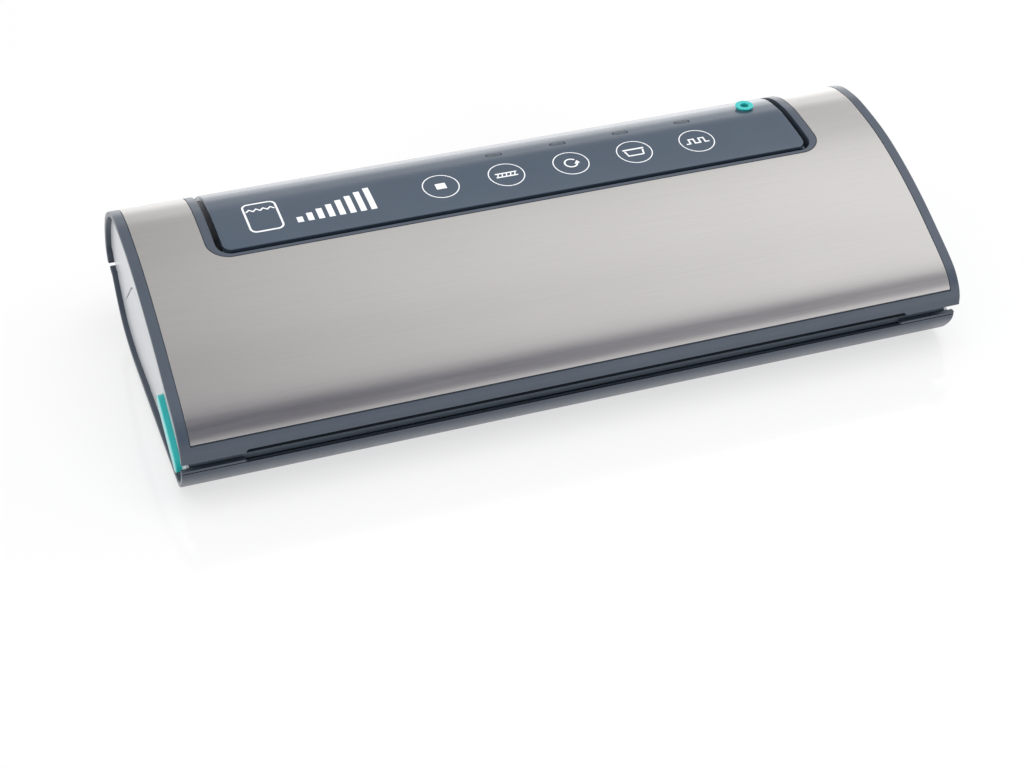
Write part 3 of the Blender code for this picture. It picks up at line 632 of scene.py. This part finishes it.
def build_lid_steel():
    path = lid_run(STEEL_FRONT_Z + STEEL_FRONT_GAP, STEEL_REAR_Z + GAP)
    edge = HALF - STRIP - GAP
    sheet = prism("lid_steel", band(path, 0, STEEL), -edge, edge)
    half_width, front, radius = NOTCH_STEEL
    clear = notch_outline(half_width + GAP, front - GAP, radius + GAP)
    cut(sheet, prism("notch", clear, 0.0, 0.1, "Z"))
    soften(sheet, 0.00027, None, 2, 50)
    show(sheet, LOOKS["steel"], "lid", ["lid_cover"])


def build_side_panels():
    for word, side in SIDES:
        span = sides_of(HALF - RECESS - PANEL, HALF - RECESS, side)
        outline = fillet(lid_end_outline(PANEL_INSET), 0.0005)
        upper = prism(f"lid_side_{word}", outline, *span, edge=0.0004)
        show(upper, LOOKS["side"], "lid", [f"lid_end_panel_{word}"])
        outline = fillet(base_end_outline(WALL + GAP), 0.0005)
        hole = button_outline(0.0004)
        lower = prism(f"base_side_{word}", outline, *span, holes=[hole[::-1]], edge=0.0004)
        show(lower, LOOKS["side"], "base", [f"end_panel_{word}"])


def build_lid_liner():
    """Underside of the lid: a flat moulding with two long ribs and the rear wall."""
    outline = [(-0.0842, 0.0280), (-0.0085, 0.0280), (-0.0098, 0.0400), (-0.0080, 0.0580),
               (-0.0048, 0.0695), (-0.0068, 0.0695), (-0.0100, 0.0580), (-0.0118, 0.0400),
               (-0.0106, 0.0300), (-0.0842, 0.0300)]
    liner = prism("lid_underside", fillet(outline, 0.0005), -0.1822, 0.1822, edge=0.0004)
    for _, side in SIDES:
        low, high = sides_of(HOOK_X - 0.0019, HOOK_X + 0.0019, side)
        front, rear = LATCH_Y - LATCH_HOLE_HALF, LATCH_Y + LATCH_HOLE_HALF
        hole = rectangle((low, front), (high, rear), 0.0004, 3)
        cut(liner, prism("hook_hole", hole, 0.02, 0.04, "Z"))
    show(liner, LOOKS["deck"], "lid", ["lid_liner"])


def build_lid_hooks():
    for word, side in SIDES:
        def span(low, high, reach, bottom, top, label):
            x0, x1 = sides_of(HOOK_X + low, HOOK_X + high, side)
            return block(label, (x0, LATCH_Y - reach, bottom), (x1, LATCH_Y + reach, top), 0.0003)
        hook = span(-0.0015, 0.0015, 0.0020, 0.0100, 0.0315, f"catch_{word}")
        add(hook, span(-0.0070, 0.0070, 0.0050, 0.0303, 0.0323, "flange"))
        x0, x1 = side * (HOOK_X - 0.0035), side * (HOOK_X - 0.0010)
        barb = [(-x0, 0.0137), (-x1, 0.0137), (-x1, 0.0100), (-(x0 + side * 0.0012), 0.0100),
                (-x0, 0.0125)]
        add(hook, prism("barb", barb, LATCH_Y - 0.0020, LATCH_Y + 0.0020, "Y"))
        show(hook, LOOKS["dark"], "lid", [f"lid_hook_{word}"])


def seal_ring(name, outer, inner, low, high, edge):
    """Closed cord of foam between two rounded rectangles, with a rounded section."""
    return prism(name, rectangle(*outer, 10), low, high, "Z", [rectangle(*inner, 10)[::-1]], edge)


def build_seals():
    outer = ((-0.1660, -0.0560), (0.1660, -0.0080), 0.0100)
    inner = ((-0.1620, -0.0520), (0.1620, -0.0120), 0.0070)
    lower = seal_ring("deck_seal", outer, inner, DECK_TOP + GAP, 0.0250, 0.0012)
    show(lower, LOOKS["foam"], "base", ["lower_gasket"], 50)
    upper = seal_ring("lid_seal", outer, inner, 0.0253, 0.0277, 0.0010)
    show(upper, LOOKS["foam"], "lid", ["upper_gasket"], 50)
    bar = block("press_pad", (-0.163, -0.0690, 0.0248), (0.163, -0.0630, 0.0277), 0.0009, 4)
    show(bar, LOOKS["silicone"], "lid", ["press_bar"])


# ---------------------------------------------------------------- base
def build_tray():
    section = fillet(band(BASE_PATH, 0, WALL), SHELL_CORNER)
    tray = prism("base_shell", section, -HALF, HALF, edge=SHELL_EDGE)
    for _, side in SIDES:
        wall = prism("end_wall", base_end_outline(0.0016), *sides_of(*END_WALL, side))
        cut(wall, block("above", (-0.2, -0.1, 0.0190), (0.2, 0.1, 0.1)))
        add(tray, wall)
        cut(tray, prism("button_hole", button_outline(0.0004), *sides_of(0.18, 0.1913, side)))
        cover = arc(HINGE, COVER_RADIUS, -95, -52) + arc(HINGE, COVER_RADIUS - WALL, -52, -95)
        cover = fillet(cover, 0.0007)
        add(tray, prism("hinge_cover", cover, *sides_of(COVER_FROM_X, HALF, side), edge=0.0005))
    step = rectangle((-SLOT_HALF, RIM_STEP_Z), (SLOT_HALF, 0.03), SLOT_CORNER, 8)
    cut(tray, prism("rim_step", step, -0.09, -0.08, "Y"))

    def on_step(point):
        return point.y < -0.0800 and point.z > RIM_STEP_Z - 0.0001 and abs(point.x) < SLOT_HALF + 0.0005
    soften(tray, 0.00035, on_step)
    for x, y in FEET:
        add(tray, prism("foot_rim", arc((x, y), 0.0100, 0, 345, 23), 0.0022, 0.0034, "Z", edge=0.0003))
        cut(tray, prism("foot_seat", arc((x, y), 0.0086, 0, 345, 23), 0.0, 0.0025, "Z"))
    for x, y in SCREWS:
        cut(tray, prism("screw_hole", arc((x, y), 0.0030, 0, 330, 11), -0.001, 0.0024, "Z"))
    for row in range(9):
        for column in range(2):
            x = (-0.075, 0.075)[column]
            y = -0.030 + 0.0050 * row
            vent = stadium((x - 0.016, y), (x + 0.016, y), 0.0009, 6)
            cut(tray, prism("vent", vent, 0.0, 0.0036, "Z"))
    show(tray, LOOKS["shell"], "base", ["base_tray"])


def build_rear_cover():
    """Housing behind the deck: its skin closes the back below the control panel."""
    half_width = FASCIA[0]
    start = (FASCIA_REAR_Y + GAP, lid_height(FASCIA_REAR_Y + GAP))
    path = [start] + [p for p in LID_PATH if p[0] > FASCIA_REAR_Y + 0.001]
    skin = prism("rear_shell", fillet(band(path, 0, WALL), 0.0007), -half_width, half_width, edge=0.0005)
    under = offset(lid_between(0.0030, FASCIA_REAR_Y), FASCIA_WALL + GAP)
    rear = [p for p in LID_PATH if p[0] > FASCIA_REAR_Y and p[1] > 0.034]
    side_outline = [(0.0030, 0.0218), *under, *offset(rear, 0.0010),
                    (0.0845, 0.0335), (0.0660, 0.0335), (0.0660, 0.0218)]
    front = [(0.0030, 0.0218), (0.0052, 0.0218), (0.0052, 0.0738), (0.0030, 0.0736)]
    shelf = rectangle((0.0700, 0.0302), (0.0845, 0.0324))
    add(skin, prism("shelf", shelf, -half_width + GAP, half_width - GAP))
    for _, side in SIDES:
        add(skin, prism("side", side_outline, *sides_of(half_width - WALL, half_width, side)))
    add(skin, prism("front", front, -half_width, half_width))
    low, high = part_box("power_inlet")
    frame_box = rectangle((-high.x - GAP, low.z - GAP), (-low.x + GAP, high.z + GAP), 0.0012, 5)
    cut(skin, prism("inlet_hole", frame_box, 0.06, 0.1, "Y"))
    for k in range(12):
        x = 0.060 + 0.0048 * k
        vent = stadium((-x, 0.0430), (-x, 0.0560), 0.0010, 6)
        cut(skin, prism("vent", vent, 0.0700, 0.1, "Y"))
    show(skin, LOOKS["shell"], "base", ["rear_housing"])


def build_panel():
    half_width, front, radius = FASCIA
    panel = prism("touch_panel", band(lid_between(front, FASCIA_REAR_Y), 0, FASCIA_WALL),
                  -half_width, half_width)
    corners = prism("corners", notch_outline(half_width, front, radius), 0.0, 0.1, "Z")
    combine(panel, corners, "INTERSECT")

    def upper(point):
        return point.y < FASCIA_REAR_Y - 0.0001 and point.z > lid_height(point.y) - 0.0006
    soften(panel, 0.00045, upper, 3)
    for key in LIGHTS:
        cut(panel, prism("hole", led_outline(key, 0.00025), 0.07, 0.09, "Z"))
    cut(panel, prism("port_hole", arc(PORT, 0.0043, 0, 352.5, 47), 0.06, 0.09, "Z"))
    show(panel, LOOKS["panel"], "base", ["control_panel"])


def led_outline(key, extra):
    """Outline of the light window behind one touch key."""
    length, width = LED_SIZE
    reach = (length - width) / 2
    x = KEY_FIRST + KEY_PITCH * key
    return stadium((x - reach, LED_Y), (x + reach, LED_Y), width / 2 + extra, 10)


def build_windows():
    for key in LIGHTS:
        window = prism(f"light_window_{key}", led_outline(key, -0.0001), 0.0740, 0.0798, "Z", edge=0.0004)
        show(window, LOOKS["lens"], "base", [f"led_window_{key}"])


def build_port():
    """Turned hose socket with a rounded lip."""
    middle = 0.0808
    outer = [(0.0044 + 0.0004 * math.cos(a), middle + 0.0004 * math.sin(a))
             for a in [math.radians(d) for d in range(-90, 91, 18)]]
    inner = [(0.0028 + 0.0006 * math.cos(a), middle - 0.0002 + 0.0006 * math.sin(a))
             for a in [math.radians(d) for d in range(90, 181, 15)]]
    profile = outer + inner + [(0.0022, 0.0665), (0.0034, 0.0660), (0.0034, 0.0731), (0.0060, 0.0736),
                               (0.0060, 0.0750), (0.0041, 0.0750), (0.0041, 0.0804)]
    port = turned("hose_socket", profile[::-1], (*PORT, 0))
    show(port, LOOKS["teal"], "base", ["hose_port"], 60)


# ---------------------------------------------------------------- printed signs
def stroke(points, width, closed=False):
    """Outline quads of a line of constant width: a list of four-cornered cells."""
    line = [Vector(p) for p in points]
    count = len(line)
    rails = []
    for index, point in enumerate(line):
        before = line[index - 1] if closed or index else None
        after = line[(index + 1) % count] if closed or index + 1 < count else None
        a = (point - before).normalized() if before is not None else (after - point).normalized()
        b = (after - point).normalized() if after is not None else a
        along = (a + b).normalized()
        reach = width / 2 / max(along.dot(a), 0.4)
        side = Vector((-along.y, along.x)) * reach
        rails.append((point + side, point - side))
    if closed:
        rails.append(rails[0])
    return [(a[0], a[1], b[1], b[0]) for a, b in zip(rails, rails[1:])]


def ring(centre, radius, width, start=0, end=360, steps=64):
    closed = end - start == 360
    count = steps - 1 if closed else steps
    last = start + (end - start) * count / steps
    return stroke(arc(centre, radius, start, last, count), width, closed)


def moved(cells, x, y):
    return [tuple(corner + Vector((x, y)) for corner in cell) for cell in cells]


def bar(x0, y0, x1, y1):
    """Filled rectangle as narrow cells, so that it can follow a curved face."""
    rows = max(1, round((y1 - y0) / 0.0012))
    step = (y1 - y0) / rows
    return [(Vector((x0, y0 + step * k)), Vector((x1, y0 + step * k)),
             Vector((x1, y0 + step * (k + 1))), Vector((x0, y0 + step * (k + 1)))) for k in range(rows)]


def dense(points, spacing=0.0006, closed=False):
    """The path with extra points on its long stretches."""
    loop = points + points[:1] if closed else points
    result = []
    for a, b in zip(loop, loop[1:]):
        a, b = Vector(a), Vector(b)
        parts = max(1, round((b - a).length / spacing))
        result += [tuple(a + (b - a) * k / parts) for k in range(parts)]
    return result if closed else result + [points[-1]]


def key_signs():
    """One generic sign for each touch key, drawn about its centre."""
    thick = 0.00085
    stop = bar(-0.0026, -0.0022, 0.0026, 0.0022)
    seal = stroke([(-0.0056, 0.0014), (0.0056, 0.0014)], thick) + \
        stroke([(-0.0056, -0.0014), (0.0056, -0.0014)], thick)
    for k in range(5):
        x = -0.0044 + 0.0022 * k
        seal += stroke([(x - 0.0004, -0.0014), (x + 0.0004, 0.0014)], 0.0006)
    auto = ring((0, 0), 0.0032, thick, 40, 340, 40)
    auto += [(Vector((0.0014, -0.0012)), Vector((0.0046, -0.0008)), Vector((0.0034, 0.0016)),
              Vector((0.0033, 0.0015)))]
    tub = [(-0.0048, 0.0012), (-0.0040, -0.0028), (0.0040, -0.0028), (0.0048, 0.0012)]
    case = stroke(dense(tub), thick) + stroke([(-0.0056, 0.0022), (0.0056, 0.0022)], 0.0011)
    wave = [(-0.0062, -0.0018), (-0.0040, -0.0018), (-0.0040, 0.0018), (-0.0014, 0.0018),
            (-0.0014, -0.0018), (0.0014, -0.0018), (0.0014, 0.0018), (0.0040, 0.0018),
            (0.0040, -0.0018), (0.0062, -0.0018)]
    pulse = stroke(wave, thick)
    return [stop, seal, auto, case, pulse]


def bag_sign():
    """A bag with its sealed top and rows of level bars beside it."""
    outline = dense(rectangle((-0.1350, 0.0110), (-0.1190, 0.0330), 0.0030, 6), 0.0008, True)
    cells = stroke(outline, 0.0010, True)
    teeth = []
    for k in range(9):
        teeth.append((-0.1340 + 0.00175 * k, 0.0284 if k % 2 else 0.0268))
    cells += stroke(teeth, 0.0008)
    for k in range(8):
        x = -0.1120 + 0.0052 * k
        cells += bar(x, 0.0125, x + 0.0030, 0.0165 + 0.0019 * k)
    return cells


def build_print():
    cells = bag_sign()
    for key, sign in zip(KEYS, key_signs()):
        x = KEY_FIRST + KEY_PITCH * key
        cells += ring((x, KEY_Y), 0.0090, 0.00055) + moved(sign, x, KEY_Y)
    vertices = []
    faces = []
    lift = 0.00004
    for cell in cells:
        first = len(vertices)
        vertices += [(p.x, p.y, lid_height(p.y) + lift) for p in cell]
        faces.append(tuple(range(first, first + len(cell))))
    mesh = bpy.data.meshes.new("panel_signs")
    mesh.from_pydata(vertices, [], faces)
    body = bmesh.new()
    body.from_mesh(mesh)
    bmesh.ops.remove_doubles(body, verts=body.verts, dist=0.000002)
    bmesh.ops.recalc_face_normals(body, faces=body.faces)
    for face in body.faces:
        if face.normal.z < 0:
            face.normal_flip()
    body.to_mesh(mesh)
    body.free()
    show(new_object("panel_signs", mesh), LOOKS["print"], "base")


# ---------------------------------------------------------------- releases
def build_buttons():
    for word, side in SIDES:
        button = prism(f"push_button_{word}", button_outline(),
                       *sides_of(0.1860, HALF + BUTTON_PROUD, side), edge=0.0006)
        show(button, LOOKS["teal"], f"release_{word}", [f"release_button_{word}"], 60)


def coil(centre, radius, low, high, turns=5, per_turn=24):
    """Points of a helix about an X-parallel axis, from one x to another."""
    points = []
    for k in range(turns * per_turn + 1):
        a = 2 * math.pi * k / per_turn
        x = low + (high - low) * k / (turns * per_turn)
        points.append((x, centre[0] + radius * math.cos(a), centre[1] + radius * math.sin(a)))
    return points


def build_springs():
    """Torsion springs on the hinge pins, and the coil springs that the sliders press together."""
    for word, side in SIDES:
        path = coil(HINGE, 0.0035, *sides_of(0.1580, 0.1700, side))
        hinge = tube(f"hinge_coil_{word}", path, 0.0006)
        show(hinge, LOOKS["plated"], "base", [f"lid_spring_{word}"], 60)
        path = coil(COIL_AXIS, 0.0026, *sides_of(0.1526, 0.1629, side))
        button = tube(f"button_coil_{word}", path, 0.0005)
        show(button, LOOKS["plated"], "base", [f"button_spring_{word}"], 60)
        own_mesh(button)


# ---------------------------------------------------------------- small parts
def build_feet():
    profile = [(0, 0.0070), (0.0022, 0.0070), (0.0022, 0.0023), (0.0076, 0.0023), (0.0081, 0.0020),
               (0.0082, 0.0014), (0.0080, 0.0006), (0.0075, 0.0001), (0.0068, 0.0), (0.0060, 0.0004),
               (0.0052, 0.0), (0.0044, 0.0004), (0.0036, 0.0), (0.0028, 0.0004), (0.0020, 0.0), (0, 0)]
    for name, (x, y) in zip(("front_left", "front_right", "rear_left", "rear_right"), FEET):
        pad = turned(f"rubber_pad_{name}", profile, (x, y, 0), 48)
        show(pad, LOOKS["rubber"], "base", [f"foot_{name}"], 40)


def build_screws():
    profile = [(0, 0.0120), (0.0010, 0.0116), (0.0013, 0.0110), (0.0013, 0.0023), (0.0028, 0.0023),
               (0.0028, 0.0014), (0.0025, 0.0009), (0.0020, 0.0006), (0, 0.0006)]
    for k, (x, y) in enumerate(SCREWS, 1):
        screw = turned(f"case_screw_{k}", profile, (x, y, 0), 32)
        long_way = block("cross_a", (x - 0.0014, y - 0.00035, 0.0), (x + 0.0014, y + 0.00035, 0.0013))
        short_way = block("cross_b", (x - 0.00035, y - 0.0014, 0.0), (x + 0.00035, y + 0.0014, 0.0013))
        cut(screw, long_way, short_way)
        show(screw, LOOKS["plated"], "base", [f"base_screw_{k}"], 40)


def paint(look, *names):
    """CAD nodes that keep their own shape, with a procedural material."""
    for name in names:
        node = NODES[name]
        node.data.materials.clear()
        node.data.materials.append(LOOKS[look])


def paint_cad_nodes():
    paint("deck", "base_deck")
    paint("dark", "sealing_bar", "pump_body", "solenoid_valve", "lid_sensor", "vacuum_nozzle",
          "latch_slider_left", "latch_slider_right")
    paint("rubber", "power_inlet", "pump_diaphragm")
    paint("silicone", "vacuum_hose", "port_hose")
    paint("film", "sealing_tape")
    paint("board", "power_board", "control_board")
    paint("copper", "transformer")
    paint("plated", "heating_strip", "hinge_pin_left", "hinge_pin_right", "pump_motor", "pump_bracket")
    paint("brass", "pump_crank")
    paint("magnet", "lid_magnet")


# ---------------------------------------------------------------- studio
def build_floor():
    bpy.ops.mesh.primitive_circle_add(vertices=96, radius=14.0, fill_type="NGON")
    floor = bpy.context.object
    floor.name = "studio_floor"
    look = Look("white_acrylic_floor")
    patches = look.spread(look.noise(1.5, 1.0), 0.0, 1.0)
    look.colour(look.blend(patches, (0.24, 0.24, 0.24), (0.26, 0.26, 0.26)))
    look.set(Roughness=0.06, IOR=1.5, Emission_Color=(1, 1, 1, 1), Emission_Strength=0.66)
    floor.data.materials.append(look.material)


class Sky:
    """Arithmetic on the direction of a ray, in the nodes of the world."""

    def __init__(self, tree):
        self.nodes = tree.nodes
        self.links = tree.links
        direction = self.nodes.new("ShaderNodeTexCoord").outputs["Generated"]
        axes = self.nodes.new("ShaderNodeSeparateXYZ")
        self.links.new(direction, axes.inputs[0])
        self.x, self.y, self.z = axes.outputs

    def step(self, value, start, end):
        """0 below start and 1 above end, with a soft change between them."""
        node = self.nodes.new("ShaderNodeMapRange")
        node.interpolation_type = "SMOOTHSTEP"
        node.inputs["From Min"].default_value = start
        node.inputs["From Max"].default_value = end
        self.links.new(value, node.inputs["Value"])
        return node.outputs["Result"]

    def calculate(self, operation, first, second=0.0):
        node = self.nodes.new("ShaderNodeMath")
        node.operation = operation
        for socket, value in zip(node.inputs, (first, second)):
            if isinstance(value, float):
                socket.default_value = value
            else:
                self.links.new(value, socket)
        return node.outputs[0]

    def add(self, first, second):
        return self.calculate("ADD", first, second)

    def times(self, first, second):
        return self.calculate("MULTIPLY", first, second)

    def rest(self, value):
        """What is left of 1."""
        return self.calculate("SUBTRACT", 1.0, value)


def wall_brightness(sky):
    """Walls that are brighter towards the sides, darker in front, and dimmer above the rear soft
    box. Gives the brightness and how much of it the dark front covers."""
    width = sky.calculate("ABSOLUTE", sky.x)
    leaning = sky.add(sky.y, sky.times(width, 0.44))
    dark = sky.times(sky.rest(sky.step(leaning, -0.27, 0.07)), sky.step(sky.z, 0.34, 0.56))
    behind = sky.times(sky.step(sky.y, 0.30, 0.60), sky.step(sky.z, 0.30, 0.44))
    dim = sky.times(behind, sky.rest(sky.step(sky.z, 0.55, 0.95)))
    dim = sky.times(dim, sky.add(0.10, sky.times(sky.step(width, 0.10, 0.30), 0.48)))
    value = sky.add(0.52, sky.times(sky.step(width, 0.08, 0.21), 0.49))
    value = sky.add(value, sky.times(sky.step(width, 0.21, 0.50), 0.35))
    value = sky.times(value, sky.rest(sky.times(dark, 0.86)))
    return sky.times(value, sky.rest(dim)), dark


def build_world():
    """White studio for the camera; reflections see its shaded walls, bluish where they are dark."""
    world = bpy.data.worlds.new("studio")
    bpy.context.scene.world = world
    world.use_nodes = True
    sky = Sky(world.node_tree)
    value, dark = wall_brightness(sky)
    blue = sky.add(value, sky.times(dark, 0.045))
    walls = sky.nodes.new("ShaderNodeCombineColor")
    for socket, amount in zip(walls.inputs, (value, value, blue)):
        sky.links.new(amount, socket)
    shown = sky.nodes.new("ShaderNodeMix")
    shown.data_type = "RGBA"
    sky.links.new(sky.nodes.new("ShaderNodeLightPath").outputs["Is Camera Ray"], shown.inputs["Factor"])
    sky.links.new(walls.outputs[0], shown.inputs[6])
    shown.inputs[7].default_value = (0.97, 0.97, 0.97, 1)
    background = sky.nodes["Background"]
    sky.links.new(shown.outputs[2], background.inputs["Color"])
    background.inputs["Strength"].default_value = 1.0


def soft_light(name, place, target, width, height, power, mirrored):
    """Soft box; mirrored says whether glossy surfaces show it."""
    data = bpy.data.lights.new(name, "AREA")
    data.shape = "RECTANGLE"
    data.size = width
    data.size_y = height
    data.energy = power
    lamp = bpy.data.objects.new(name, data)
    bpy.context.scene.collection.objects.link(lamp)
    lamp.location = place
    lamp.visible_glossy = mirrored
    aim = Vector(target) - Vector(place)
    lamp.rotation_euler = aim.to_track_quat("-Z", "Y").to_euler()


def build_lights():
    soft_light("key_above", (0.2, -0.5, 2.2), (0, 0, 0), 2.2, 2.2, 34, False)
    soft_light("rear_wall", (0.3, 2.2, 0.38), (0, 0, 0.3), 4.2, 0.74, 9.0, True)


def build_camera():
    data = bpy.data.cameras.new("camera")
    data.sensor_width = SENSOR
    data.lens = LENS
    data.clip_start = 0.01
    data.clip_end = 100
    camera = bpy.data.objects.new("camera", data)
    bpy.context.scene.collection.objects.link(camera)
    camera.location = CAMERA_PLACE
    camera.rotation_euler = [math.radians(a) for a in CAMERA_TURN]
    bpy.context.scene.camera = camera


def build_all():
    build_lid_shell()
    build_lid_steel()
    build_side_panels()
    build_lid_liner()
    build_lid_hooks()
    build_seals()
    build_tray()
    build_rear_cover()
    build_panel()
    build_windows()
    build_port()
    build_print()
    build_buttons()
    build_springs()
    build_feet()
    build_screws()
    paint_cad_nodes()
    build_floor()
    build_world()
    build_lights()
    build_camera()
    bpy.context.scene.view_settings.view_transform = "Standard"


build_all()
